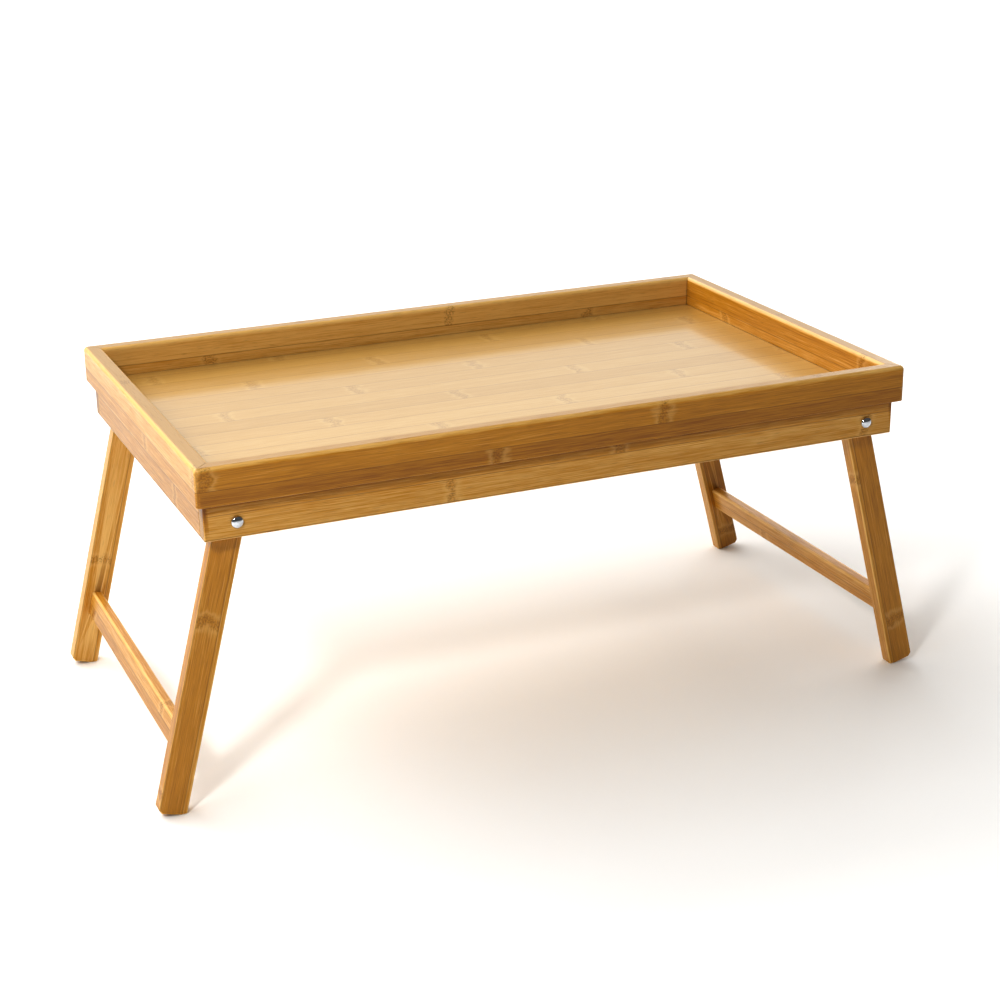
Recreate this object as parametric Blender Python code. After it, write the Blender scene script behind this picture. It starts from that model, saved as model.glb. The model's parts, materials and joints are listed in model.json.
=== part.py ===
"""A folding bamboo bed tray: a mitred rim round a thin panel, an apron frame under it, and
two leg frames that fold up into the apron. Metres, X along the tray, Z up, floor at Z = 0."""

import bmesh
import bpy
from math import cos, pi, radians, sin, sqrt

# Clearance between pieces that touch, screw or glue together on the real tray.
GAP = 0.0003

# Rim: four mitred rails with rounded top edges, rebated below for the panel.
TRAY_LENGTH = 0.500
TRAY_WIDTH = 0.300
RIM_HEIGHT = 0.025
RIM_THICK = 0.012
RIM_ROUND = 0.003
REBATE_WIDTH = 0.005
PANEL_THICK = 0.003
PANEL_TONGUE = 0.0025  # the panel's edge, planed thinner where the rebate holds it

# Splines: a thin slip of bamboo that stands across each mitre, hidden in both rails.
SPLINE_THICK = 0.003
SPLINE_WALL = 0.0015  # wood left between the slot and the rail's faces
SPLINE_EDGE = 0.003  # wood left above and below the slot

# Aprons: the frame under the panel, lapping a little way under the rails' solid edge.
APRON_HEIGHT = 0.024
APRON_LAP_END = 0.002
APRON_LAP_SIDE = 0.0005
SIDE_APRON_THICK = 0.010
END_APRON_THICK = 0.008
APRON_EASE = 0.001
DOWEL_DIAMETER = 0.004
DOWEL_IN_SIDE = 0.006
DOWEL_IN_END = 0.012
DOWEL_FROM_EDGE = 0.006

# Legs: flat bars that hang on a bolt at the top and lean out to the splay.
SPLAY = radians(14.5)
LEG_WIDTH = 0.019
LEG_THICK = 0.010
LEG_REACH = 0.201  # from the bolt's axis to the square-cut foot
PIVOT_DROP = 0.0135  # from the aprons' top edge down to the bolt's axis
TOE_LAND = 0.004  # the part of the foot that is trimmed level
HEEL_CHAMFER = 0.0025

# Stretchers: one flat rail between the two legs of a frame, tenoned into both.
STRETCHER_HEIGHT = 0.018
STRETCHER_THICK = 0.008
STRETCHER_RISE = 0.047  # from the foot up the leg to the rail's middle
STRETCHER_EASE = 0.0015
TENON_DEPTH = 0.006
TENON_SHOULDER = 0.0015
TENON_EDGE = 0.003

# Battens: two thin strips under the panel, where the folded legs come to rest.
BATTEN_WIDTH = 0.020
BATTEN_FROM_MIDDLE = 0.045

# Pivot hardware: domed bolt, spacer washer, inner washer and nut.
BOLT_DIAMETER = 0.004
HEAD_DIAMETER = 0.008
HEAD_HEIGHT = 0.0024
WASHER_DIAMETER = 0.012
WASHER_THICK = 0.001
NUT_ACROSS_FLATS = 0.007
NUT_HEIGHT = 0.0032
BOLT_TAIL = 0.001  # thread that shows past the nut

ROUND_STEPS = 6  # flats in a quarter of a rounded edge
HOLE_SIDES = 32
NUT_SIDES = 24  # a multiple of six, so that the nut keeps its corners

# Heights, from the feet up.
PIVOT_Z = LEG_REACH * cos(SPLAY) + LEG_WIDTH / 2 * sin(SPLAY) - TOE_LAND * sin(SPLAY) * cos(SPLAY)
APRON_TOP = PIVOT_Z + PIVOT_DROP
APRON_BOTTOM = APRON_TOP - APRON_HEIGHT
RIM_BOTTOM = APRON_TOP + GAP
RIM_TOP = RIM_BOTTOM + RIM_HEIGHT
PANEL_TOP = RIM_BOTTOM + PANEL_THICK
TONGUE_TOP = RIM_BOTTOM + PANEL_TONGUE
REBATE_TOP = TONGUE_TOP + GAP

# Faces of the apron frame, as distances from the middle of the tray.
RAIL_EDGE = RIM_THICK - REBATE_WIDTH  # the width of a rail's underside
END_OUTER_X = TRAY_LENGTH / 2 - RAIL_EDGE + APRON_LAP_END
END_INNER_X = END_OUTER_X - END_APRON_THICK
SIDE_OUTER_Y = TRAY_WIDTH / 2 - RAIL_EDGE + APRON_LAP_SIDE
SIDE_INNER_Y = SIDE_OUTER_Y - SIDE_APRON_THICK

# An open leg leans on the lower inner edge of its end apron, which sets the bolt's place.
LEAN = (PIVOT_Z - APRON_BOTTOM + LEG_WIDTH / 2 * sin(SPLAY)) / cos(SPLAY)
STOP_REACH = LEAN * sin(SPLAY) + LEG_WIDTH / 2 * cos(SPLAY)
PIVOT_X = END_INNER_X - GAP - STOP_REACH

# What the bolt passes through, measured inwards from the side apron's outer face.
SPACER_AT = SIDE_APRON_THICK + GAP
LEG_AT = SPACER_AT + WASHER_THICK + GAP
INNER_WASHER_AT = LEG_AT + LEG_THICK + GAP
NUT_AT = INNER_WASHER_AT + WASHER_THICK + GAP
BOLT_END = NUT_AT + NUT_HEIGHT + BOLT_TAIL
LEG_OUTER_Y = SIDE_OUTER_Y - LEG_AT
LEG_INNER_Y = LEG_OUTER_Y - LEG_THICK

ENDS = (("left", -1), ("right", 1))
SIDES = (("front", -1), ("back", 1))


def clear_scene():
    for obj in list(bpy.data.objects):
        bpy.data.objects.remove(obj, do_unlink=True)


def material(name, colour, roughness, metallic=0.0):
    """A Principled material; colour is linear RGB."""
    made = bpy.data.materials.new(name)
    made.use_nodes = True
    shader = made.node_tree.nodes["Principled BSDF"]
    shader.inputs["Base Color"].default_value = (*colour, 1.0)
    shader.inputs["Roughness"].default_value = roughness
    shader.inputs["Metallic"].default_value = metallic
    made.diffuse_color = (*colour, 1.0)
    return made


def loft(name, loops, ring=False):
    """A closed mesh through loops of equal length. Points that coincide become one, so a loop
    may shrink to a point. A ring joins its last loop to its first; otherwise both are capped."""
    shape = bmesh.new()
    known = {}

    def vertex(point):
        key = tuple(round(value * 1e7) for value in point)
        if key not in known:
            known[key] = shape.verts.new(point)
        return known[key]

    def face(corners):
        kept = [v for i, v in enumerate(corners) if v is not corners[i - 1]]
        if len(set(kept)) > 2:
            shape.faces.new(kept)

    rows = [[vertex(point) for point in loop] for loop in loops]
    pairs = list(zip(rows, rows[1:])) + ([(rows[-1], rows[0])] if ring else [])
    for low, high in pairs:
        for i in range(len(low)):
            face([low[i - 1], low[i], high[i], high[i - 1]])
    if not ring:
        face(rows[0])
        face(rows[-1])
    bmesh.ops.recalc_face_normals(shape, faces=shape.faces)
    mesh = bpy.data.meshes.new(name)
    shape.to_mesh(mesh)
    shape.free()
    return mesh


def prism(name, outline, start, end, axis):
    """An outline of (u, v) points drawn out along Y, as (x, z), or along Z, as (x, y)."""
    place = {"Y": lambda u, v, w: (u, w, v), "Z": lambda u, v, w: (u, v, w)}[axis]
    return loft(name, [[place(u, v, w) for u, v in outline] for w in (start, end)])


def circle(radius, sides=HOLE_SIDES):
    return [(radius * cos(2 * pi * i / sides), radius * sin(2 * pi * i / sides)) for i in range(sides)]


def hexagon(across_flats, sides=NUT_SIDES):
    """Points round a hexagon, at the same angles as circle() gives."""
    points = []
    for i in range(sides):
        angle = 2 * pi * i / sides
        reach = across_flats / 2 / cos((angle % (pi / 3)) - pi / 6)
        points.append((reach * cos(angle), reach * sin(angle)))
    return points


def box_outline(width, height, cut=0.0):
    """A rectangle about the origin, with its corners cut off by the given amount."""
    w, h = width / 2, height / 2
    if cut == 0:
        return [(-w, -h), (w, -h), (w, h), (-w, h)]
    return [
        (-w + cut, -h), (w - cut, -h), (w, -h + cut), (w, h - cut),
        (w - cut, h), (-w + cut, h), (-w, h - cut), (-w, -h + cut),
    ]


def put(name, mesh, finish, location=(0, 0, 0), rotation=(0, 0, 0), parent=None):
    """A visible piece, shaded smooth across its shallow edges only."""
    obj = bpy.data.objects.new(name, mesh)
    obj.location = location
    obj.rotation_euler = rotation
    obj.parent = parent
    if not mesh.materials:
        mesh.materials.append(finish)
        mesh.shade_smooth()
        mesh.set_sharp_from_angle(angle=radians(35))
    bpy.context.collection.objects.link(obj)
    return obj


def cutter(name, mesh, location=(0, 0, 0), rotation=(0, 0, 0), parent=None):
    obj = bpy.data.objects.new(name, mesh)
    obj.location = location
    obj.rotation_euler = rotation
    obj.parent = parent
    obj.hide_render = True
    obj.display_type = "WIRE"
    bpy.context.collection.objects.link(obj)
    return obj


def cut(obj, tool):
    hole = obj.modifiers.new("cut by " + tool.name, "BOOLEAN")
    hole.operation = "DIFFERENCE"
    hole.solver = "EXACT"
    hole.object = tool


def rim_profile():
    """The rail's section as (depth from its outer face, height) points, going round once."""
    points = [(0, RIM_BOTTOM)]
    for centre, start in ((RIM_ROUND, pi), (RIM_THICK - RIM_ROUND, pi / 2)):
        for i in range(ROUND_STEPS + 1):
            angle = start - pi / 2 * i / ROUND_STEPS
            points.append((centre + RIM_ROUND * cos(angle), RIM_TOP - RIM_ROUND + RIM_ROUND * sin(angle)))
    points += [(RIM_THICK, REBATE_TOP), (RAIL_EDGE, REBATE_TOP), (RAIL_EDGE, RIM_BOTTOM)]
    return points


def rim_rail(name, half_length, half_width, finish, turn):
    """One rail, drawn as the front one and turned about Z. Each end is mitred, and its outer
    corner is rounded: a point nearer the outer face than the rounding follows a smaller arc."""
    back_off = GAP / sqrt(2)

    def section(side, angle):
        loop = []
        for depth, height in rim_profile():
            if depth < RIM_ROUND:
                reach = RIM_ROUND - depth
                along = half_length - RIM_ROUND + reach * sin(angle)
                depth = RIM_ROUND - reach * cos(angle)
            else:
                along = half_length - depth
            loop.append((side * (along - back_off), -half_width + depth, height))
        return loop

    angles = [pi / 4 * i / ROUND_STEPS for i in range(ROUND_STEPS + 1)]
    loops = [section(-1, angle) for angle in reversed(angles)] + [section(1, angle) for angle in angles]
    return put(name, loft(name, loops), finish, rotation=(0, 0, turn))


def make_rim(bamboo):
    """The four mitred rails and the spline across each mitre."""
    x, y = TRAY_LENGTH / 2, TRAY_WIDTH / 2
    rails = {
        "front": rim_rail("front_rim", x, y, bamboo, 0),
        "right": rim_rail("right_rim", y, x, bamboo, pi / 2),
        "back": rim_rail("back_rim", x, y, bamboo, pi),
        "left": rim_rail("left_rim", y, x, bamboo, -pi / 2),
    }
    room = (RIM_THICK / 2 - SPLINE_WALL) * sqrt(2) - SPLINE_THICK / 2
    wide = 2 * (room - GAP)
    low, high = REBATE_TOP + SPLINE_EDGE, RIM_TOP - RIM_ROUND - SPLINE_EDGE
    spline = prism("spline", box_outline(wide, SPLINE_THICK), low, high, "Z")
    slot = prism(
        "slot", box_outline(wide + 2 * GAP, SPLINE_THICK + 2 * GAP), low - GAP, high + GAP, "Z"
    )
    for end, end_sign in ENDS:
        for side, side_sign in SIDES:
            where = (end_sign * (x - RIM_THICK / 2), side_sign * (y - RIM_THICK / 2), 0)
            turn = (0, 0, -end_sign * side_sign * pi / 4)
            put(f"{side}_{end}_rim_spline", spline, bamboo, where, turn)
            tool = cutter(f"{side}_{end}_slot_cutter", slot, where, turn)
            cut(rails[end], tool)
            cut(rails[side], tool)


def make_panel(finish):
    """The panel's tongue lies in the rails' rebate, flush with their undersides, and its field
    stands up between the rails, so that whatever rests on the field clears them all round."""

    def loop(inset, height):
        outline = box_outline(TRAY_LENGTH - 2 * (inset + GAP), TRAY_WIDTH - 2 * (inset + GAP))
        return [(x, y, height) for x, y in outline]

    steps = (
        (RAIL_EDGE, RIM_BOTTOM), (RAIL_EDGE, TONGUE_TOP), (RIM_THICK, TONGUE_TOP), (RIM_THICK, PANEL_TOP)
    )
    put("tray_panel", loft("tray_panel", [loop(*step) for step in steps]), finish)


def make_aprons(bamboo, dowel_wood):
    """Side aprons run the full length, and the end aprons stand between them on dowels."""
    middle_y = (SIDE_OUTER_Y + SIDE_INNER_Y) / 2
    middle_x = (END_OUTER_X + END_INNER_X) / 2
    side_outline = box_outline(2 * END_OUTER_X, SIDE_APRON_THICK, APRON_EASE)
    side_mesh = prism("side_apron", side_outline, APRON_BOTTOM, APRON_TOP, "Z")
    end_outline = box_outline(END_APRON_THICK, 2 * (SIDE_INNER_Y - GAP))
    end_mesh = prism("end_apron", end_outline, APRON_BOTTOM, APRON_TOP, "Z")
    bolt_hole = prism(
        "bolt_hole", circle(BOLT_DIAMETER / 2 + GAP), -SIDE_APRON_THICK, SIDE_APRON_THICK, "Y"
    )
    dowel = prism("dowel", circle(DOWEL_DIAMETER / 2, NUT_SIDES), -DOWEL_IN_SIDE, DOWEL_IN_END, "Y")
    dowel_hole = prism(
        "dowel_hole",
        circle(DOWEL_DIAMETER / 2 + GAP, NUT_SIDES),
        -DOWEL_IN_SIDE - GAP,
        DOWEL_IN_END + GAP,
        "Y",
    )
    aprons = {}
    for side, sign in SIDES:
        aprons[side] = put(f"{side}_apron", side_mesh.copy(), bamboo, (0, sign * middle_y, 0))
    for end, sign in ENDS:
        aprons[end] = put(f"{end}_apron", end_mesh.copy(), bamboo, (sign * middle_x, 0, 0))
    for end, end_sign in ENDS:
        for side, side_sign in SIDES:
            at_bolt = (end_sign * PIVOT_X, side_sign * middle_y, PIVOT_Z)
            cut(aprons[side], cutter(f"{side}_{end}_bolt_cutter", bolt_hole, at_bolt))
            for level, height in (
                ("low", APRON_BOTTOM + DOWEL_FROM_EDGE),
                ("high", APRON_TOP - DOWEL_FROM_EDGE),
            ):
                where = (end_sign * middle_x, side_sign * SIDE_INNER_Y, height)
                turn = (0, 0, pi if side_sign > 0 else 0)
                put(f"{side}_{end}_{level}_dowel", dowel, dowel_wood, where, turn)
                tool = cutter(f"{side}_{end}_{level}_dowel_cutter", dowel_hole, where, turn)
                cut(aprons[side], tool)
                cut(aprons[end], tool)


def make_battens(bamboo):
    """Each fills the space between the panel and a folded leg, so that the leg rests on it."""
    top = APRON_TOP
    bottom = PIVOT_Z + LEG_WIDTH / 2 + GAP
    outline = box_outline(BATTEN_WIDTH, 2 * (SIDE_INNER_Y - GAP))
    for end, sign in ENDS:
        mesh = prism(f"{end}_batten", outline, bottom, top, "Z")
        put(f"{end}_batten", mesh, bamboo, (sign * BATTEN_FROM_MIDDLE, 0, 0))


def leg_outline(inward):
    """A leg seen from the front, hanging straight down from its bolt. Inward is the X sign of
    the side nearer the tray's middle, where the foot is trimmed level for the splay."""
    half = LEG_WIDTH / 2
    points = []
    for i in range(4 * ROUND_STEPS + 1):
        angle = pi * i / (4 * ROUND_STEPS)
        points.append((half * cos(angle), half * sin(angle)))
    points += [
        (-half, -LEG_REACH + HEEL_CHAMFER),
        (-half + HEEL_CHAMFER, -LEG_REACH),
        (half - TOE_LAND * cos(SPLAY), -LEG_REACH),
        (half, -LEG_REACH + TOE_LAND * sin(SPLAY)),
    ]
    return [(inward * x, z) for x, z in points]


def make_leg_frame(end, end_sign, bamboo):
    """Two legs and their stretcher, hung on an empty at the bolts' axis and leant to the splay."""
    frame = bpy.data.objects.new(f"{end}_leg_frame", None)
    frame.location = (end_sign * PIVOT_X, 0, PIVOT_Z)
    frame.rotation_euler = (0, -end_sign * SPLAY, 0)
    bpy.context.collection.objects.link(frame)

    rail_z = -LEG_REACH + STRETCHER_RISE
    tenon = (STRETCHER_THICK - 2 * TENON_SHOULDER, STRETCHER_HEIGHT - 2 * TENON_EDGE)
    mortise = prism(
        "mortise",
        box_outline(tenon[0] + 2 * GAP, tenon[1] + 2 * GAP, STRETCHER_EASE),
        -TENON_DEPTH - GAP,
        TENON_DEPTH + GAP,
        "Y",
    )
    bolt_hole = prism("leg_bolt_hole", circle(BOLT_DIAMETER / 2 + GAP), -LEG_THICK, LEG_THICK, "Y")
    for side, side_sign in SIDES:
        name = f"{side}_{end}_leg"
        mesh = prism(name, leg_outline(-end_sign), -LEG_THICK / 2, LEG_THICK / 2, "Y")
        middle = side_sign * (LEG_OUTER_Y - LEG_THICK / 2)
        leg = put(name, mesh, bamboo, (0, middle, 0), parent=frame)
        cut(leg, cutter(name + "_bolt_cutter", bolt_hole, (0, middle, 0), parent=frame))
        at_joint = (0, side_sign * LEG_INNER_Y, rail_z)
        cut(leg, cutter(name + "_mortise_cutter", mortise, at_joint, parent=frame))

    shoulder, tip = LEG_INNER_Y - GAP, LEG_INNER_Y + TENON_DEPTH
    loops = []
    for y, size in (
        (-tip, tenon),
        (-shoulder, tenon),
        (-shoulder, (STRETCHER_THICK, STRETCHER_HEIGHT)),
        (shoulder, (STRETCHER_THICK, STRETCHER_HEIGHT)),
        (shoulder, tenon),
        (tip, tenon),
    ):
        loops.append([(x, y, z) for x, z in box_outline(*size, STRETCHER_EASE)])
    name = f"{end}_stretcher"
    put(name, loft(name, loops), bamboo, (0, 0, rail_z), parent=frame)


def turned(name, profile):
    """A solid of revolution about Z from (radius, height) points."""
    loops = []
    for radius, height in profile:
        loops.append([(x, y, height) for x, y in circle(radius)])
    return loft(name, loops)


def ring_between(name, outer, inner, thick):
    """A flat ring from an outer and an inner outline with as many points each."""
    loops = []
    for outline, height in ((outer, 0), (outer, thick), (inner, thick), (inner, 0)):
        loops.append([(x, y, height) for x, y in outline])
    return loft(name, loops, ring=True)


def make_pivot_hardware(chrome, zinc):
    """Four sets: a domed bolt from outside, a spacer, and a washer and nut behind the leg."""
    shank = BOLT_DIAMETER / 2
    dome = []
    for i in range(ROUND_STEPS + 1):
        angle = pi / 2 * i / ROUND_STEPS
        dome.append((HEAD_DIAMETER / 2 * sin(angle), -GAP - HEAD_HEIGHT * cos(angle)))
    bolt = turned("pivot_bolt", dome + [(shank, -GAP), (shank, BOLT_END), (0, BOLT_END)])
    hole = BOLT_DIAMETER / 2 + GAP
    washer = ring_between("washer", circle(WASHER_DIAMETER / 2), circle(hole), WASHER_THICK)
    nut = ring_between("nut", hexagon(NUT_ACROSS_FLATS), circle(hole, NUT_SIDES), NUT_HEIGHT)
    for end, end_sign in ENDS:
        for side, side_sign in SIDES:
            inward = (side_sign * pi / 2, 0, 0)
            for piece, mesh, finish, depth in (
                ("pivot_bolt", bolt, chrome, 0),
                ("spacer_washer", washer, zinc, SPACER_AT),
                ("inner_washer", washer, zinc, INNER_WASHER_AT),
                ("pivot_nut", nut, zinc, NUT_AT),
            ):
                where = (end_sign * PIVOT_X, side_sign * (SIDE_OUTER_Y - depth), PIVOT_Z)
                put(f"{side}_{end}_{piece}", mesh, finish, where, inward)


def main():
    clear_scene()
    bamboo = material("varnished_bamboo", (0.55, 0.27, 0.08), 0.35)
    panel_bamboo = material("glossy_bamboo_panel", (0.60, 0.33, 0.11), 0.22)
    dowel_wood = material("plain_bamboo_dowel", (0.62, 0.42, 0.20), 0.6)
    chrome = material("chrome_plate", (0.75, 0.76, 0.78), 0.08, 1.0)
    zinc = material("zinc_plated_steel", (0.62, 0.64, 0.66), 0.32, 1.0)
    make_rim(bamboo)
    make_panel(panel_bamboo)
    make_aprons(bamboo, dowel_wood)
    make_battens(bamboo)
    for end, end_sign in ENDS:
        make_leg_frame(end, end_sign, bamboo)
    make_pivot_hardware(chrome, zinc)


main()
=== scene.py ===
"""The looks of a folding bamboo bed tray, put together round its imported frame.
Metres throughout: X along the tray, Y from the front to the back, Z up from the floor."""
import json

import bpy
import numpy as np
from mathutils import Matrix, Vector
from mathutils.geometry import tessellate_polygon


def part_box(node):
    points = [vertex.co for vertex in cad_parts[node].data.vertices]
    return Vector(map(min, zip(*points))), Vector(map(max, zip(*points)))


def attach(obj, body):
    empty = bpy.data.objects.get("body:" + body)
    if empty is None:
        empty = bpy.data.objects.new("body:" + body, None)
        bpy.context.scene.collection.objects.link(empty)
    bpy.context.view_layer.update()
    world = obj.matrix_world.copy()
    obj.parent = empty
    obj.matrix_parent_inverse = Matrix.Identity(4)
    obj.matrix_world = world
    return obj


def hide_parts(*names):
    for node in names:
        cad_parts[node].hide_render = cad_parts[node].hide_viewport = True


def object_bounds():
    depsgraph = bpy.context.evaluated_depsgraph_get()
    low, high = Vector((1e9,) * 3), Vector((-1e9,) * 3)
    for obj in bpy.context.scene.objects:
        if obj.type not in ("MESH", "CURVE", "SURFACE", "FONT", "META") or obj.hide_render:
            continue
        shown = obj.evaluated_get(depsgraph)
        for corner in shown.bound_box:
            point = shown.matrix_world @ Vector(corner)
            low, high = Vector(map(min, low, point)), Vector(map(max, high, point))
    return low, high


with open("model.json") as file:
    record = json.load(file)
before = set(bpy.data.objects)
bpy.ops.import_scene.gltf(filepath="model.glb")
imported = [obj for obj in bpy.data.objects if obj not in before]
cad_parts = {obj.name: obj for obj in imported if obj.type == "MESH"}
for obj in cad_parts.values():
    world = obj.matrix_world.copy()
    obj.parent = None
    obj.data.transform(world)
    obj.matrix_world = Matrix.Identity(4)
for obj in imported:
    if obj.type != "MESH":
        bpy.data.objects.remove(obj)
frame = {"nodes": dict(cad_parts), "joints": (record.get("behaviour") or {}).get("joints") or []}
cad_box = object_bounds()
MM = 0.001


# The rim: four rails of pressed bamboo, glued up from two strips, planed to 12 x 25 mm, rounded
# along both top edges and mitred at the corners. A slip of bamboo glued across each mitre holds
# it, and a rebate under the inner edge takes the panel. Finished in a clear satin varnish.
RIM_ROUND = 3.0 * MM
RAIL_EDGE_EASE = 0.4 * MM
RAIL_END_EASE = 0.2 * MM
MITRE_GAP = 0.05 * MM
REBATE_WIDTH = 5.0 * MM
REBATE_HEIGHT = 2.8 * MM
CORNER_RUN = 14.0 * MM  # length of rail, from the mitre, that takes the rows of the corner
CORNER_ROWS = np.linspace(0.72, 0.985, 10)  # where they lie, as shares of that length
SLOT_THICK = 3.6 * MM
SLOT_DEPTH = 4.9 * MM
SLOT_WALL = 2.7 * MM  # wood between the slot and the rebate or the rounding
PLAIN = 0.3 * MM  # rounding of an edge that stays hidden
TOP_PAINTED_HIGHLIGHT = 1.2  # painted highlight: the top painted paler, for the light from above
CUT_WAY = np.array([1, 1, 0]) / np.sqrt(2)  # square to the mitre's cut


def unit(vectors):
    return vectors / np.linalg.norm(vectors, axis=-1, keepdims=True)


def rounded(corners, radii, steps=5):
    """A closed outline, given anticlockwise, with an arc at each corner. The arc starts
    radius x tan(turn / 2) before the corner, and its normal swings evenly from one side's to the
    next one's. Returns the points, their outward normals and how far into its arc each one is,
    from 0 at the arc's ends to 1 at its middle."""
    corners = np.asarray(corners, float)
    radii = np.broadcast_to(radii, len(corners)).astype(float)[:, None]
    into, out = unit(corners - np.roll(corners, 1, 0)), unit(np.roll(corners, -1, 0) - corners)
    turn = np.arctan2(into[:, 0] * out[:, 1] - into[:, 1] * out[:, 0], (into * out).sum(1))[:, None]
    share = np.linspace(0, 1, steps + 1)
    angle = np.arctan2(-into[:, 0], into[:, 1])[:, None] + turn * share
    normals = np.stack([np.cos(angle), np.sin(angle)], -1)
    start = corners - into * radii * np.tan(abs(turn) / 2)
    swing = (np.sign(turn) * radii)[:, :, None]
    points = start[:, None] + swing * (normals - normals[:, :1])
    wear_and_painted_light = np.broadcast_to(4 * share * (1 - share), points.shape[:2])
    return points.reshape(-1, 2), normals.reshape(-1, 2), wear_and_painted_light.reshape(-1)


def eased_ends(ease, steps=4):
    """How a section shrinks towards its cut end over a quarter circle of radius ease. Returns the
    rows' distances from the end, their insets and the angle of their normals from the cut's."""
    angle = np.linspace(np.pi / 2, 0, steps + 1)
    return ease * (1 - np.sin(angle)), ease * (1 - np.cos(angle)), angle


def carry(outline, low, high, ease=(0.0, 0.0), hole=False):
    """A wall: the outline drawn out along w from low to high, its ends eased by quarter circles.
    A hole's wall faces inwards, and its easing opens it at the mouth. Returns an array of
    (row, column) with u, v, w, then the normal's three parts, then how much the edge is rubbed
    pale, a channel that on the rails and aprons also carries painted light and shade."""
    points, normals, wear_and_painted_light = outline
    facing = -normals if hole else normals
    rows = []
    for end, way, amount in ((low, 1, ease[0]), (high, -1, ease[1])):
        if amount:
            along, inset, angle = (value[:, None] for value in eased_ends(amount))
        else:
            along = inset = angle = np.zeros((1, 1))
        flat = points - inset[:, :, None] * facing
        w = np.broadcast_to(end + way * along, flat.shape[:2])
        tilt = np.broadcast_to(angle, w.shape)
        side = np.cos(tilt)[..., None] * facing
        lean = -way * np.sin(tilt)
        wear_and_light = np.maximum(wear_and_painted_light * np.cos(tilt), abs(np.sin(2 * tilt)))
        grid = np.concatenate([flat, w[..., None], side, lean[..., None], wear_and_light[..., None]], -1)
        rows.append(grid if way > 0 else grid[::-1])
    return np.concatenate(rows)


def solid(name, walls, place=np.eye(3), origin=(0, 0, 0), grain=(0, 1, 2), shift=(0, 0, 0), pale=0.0):
    """Makes one closed mesh. walls holds (grid, ends): each grid of rows closes on itself from
    column to column, neighbouring rows are joined by quads, and ends says which flat face a
    first and a last row take part in: "low" or "high", the piece's cut ends, where a hole's row
    leaves an opening, or "floor", the bottom of a blind hole. place turns u, v, w to X, Y, Z,
    and grain says which of them run along, across and through the wood's fibres. pale is how
    much lighter this board is than the next one."""
    place, origin = np.asarray(place, float), np.asarray(origin, float)
    points, facing, fibre, wear_and_painted_light, end_grain, faces, cuts = [], [], [], [], [], [], {}
    start = 0
    for number, (grid, ends) in enumerate(walls):
        rows, columns = grid.shape[:2]
        index = np.arange(rows * columns).reshape(rows, columns)
        at = grid[..., :3].reshape(-1, 3) @ place + origin
        normal = grid[..., 3:6].reshape(-1, 3) @ place
        beside = np.roll(index, -1, 1)
        quads = np.stack([index[:-1], beside[:-1], beside[1:], index[1:]], -1).reshape(-1, 4)
        across = np.cross(at[quads[:, 2]] - at[quads[:, 0]], at[quads[:, 3]] - at[quads[:, 1]])
        if (across * normal[quads].mean(1)).sum() < 0:
            quads = quads[:, ::-1]
        faces += (quads + start).tolist()
        points.append(at)
        facing.append(normal[quads].reshape(-1, 3))
        fibre.append(grid[..., list(grain)].reshape(-1, 3) + np.asarray(shift))
        wear_and_painted_light.append(grid[..., 6].reshape(-1))
        end_grain.append(abs(grid[..., 3 + grain[0]]).reshape(-1))
        for end, row in zip(ends, (0, -1)):
            if end == "floor":
                outward = at[index[0]].mean(0) - at[index[-1]].mean(0)
                cuts[f"floor {number}"] = (outward, [index[row] + start])
            else:
                outward = at[index[row]].mean(0) - at[index[rows // 2]].mean(0)
                cuts.setdefault(end, (outward, []))[1].append(index[row] + start)
        start += rows * columns
    points = np.concatenate(points)
    for outward, rings in cuts.values():
        fill = np.array(tessellate_polygon([[Vector(p) for p in points[ring]] for ring in rings]))
        fill = np.concatenate(rings)[fill]
        at = points[fill]
        across = np.cross(at[:, 1] - at[:, 0], at[:, 2] - at[:, 0])
        wrong = across @ outward < 0
        fill[wrong] = fill[wrong][:, ::-1]
        across[wrong] *= -1
        faces += fill.tolist()
        facing.append(np.tile(across.sum(0), (fill.size, 1)))
    mesh = bpy.data.meshes.new(name)
    mesh.from_pydata(points.tolist(), [], faces)
    mesh.shade_smooth()
    mesh.normals_split_custom_set(unit(np.concatenate(facing)).tolist())
    for label, kind, key, values in (
        ("fibre", "FLOAT_VECTOR", "vector", np.concatenate(fibre)),
        ("wear_and_painted_light", "FLOAT", "value", np.concatenate(wear_and_painted_light)),
        ("end_grain", "FLOAT", "value", np.concatenate(end_grain)),
        ("pale", "FLOAT", "value", np.full(len(points), pale)),
    ):
        made = mesh.attributes.new(label, kind, "POINT")
        made.data.foreach_set(key, values.astype(np.float32).ravel())
    obj = bpy.data.objects.new(name, mesh)
    bpy.context.collection.objects.link(obj)
    return obj


def linear(colour):
    """An sRGB hex colour as linear red, green, blue and alpha."""
    value = np.array([int(colour[i:i + 2], 16) for i in (1, 3, 5)]) / 255
    value = np.where(value <= 0.04045, value / 12.92, ((value + 0.055) / 1.055) ** 2.4)
    return (*value.tolist(), 1.0)


def node(tree, kind, inputs=(), **settings):
    """Adds a node and gives it its settings. inputs holds a value or a link for each input, by
    name or number, or in the node's own order."""
    made = tree.nodes.new(kind)
    for key, value in settings.items():
        setattr(made, key, value)
    for key, value in inputs.items() if isinstance(inputs, dict) else enumerate(inputs):
        if isinstance(value, bpy.types.NodeSocket):
            tree.links.new(value, made.inputs[key])
        else:
            made.inputs[key].default_value = value
    return made


GLUE_WIDTH = 0.5 * MM  # a real glue line is nearer 0.1 mm, and wouldn't show
GLUE_DARK = 0.55
CUT_DARK = 0.45
# How far the last channel moves the tone: rubbed edges, painted highlight and painted shade alike.
WEAR_AND_LIGHT_TONE = 0.32
KNOT_TURN = 0.618  # of knot_every, from one strip's growth rings to the next one's
KNOT_BEND = 14.0 * MM  # how far a growth ring wanders along the strip


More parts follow.
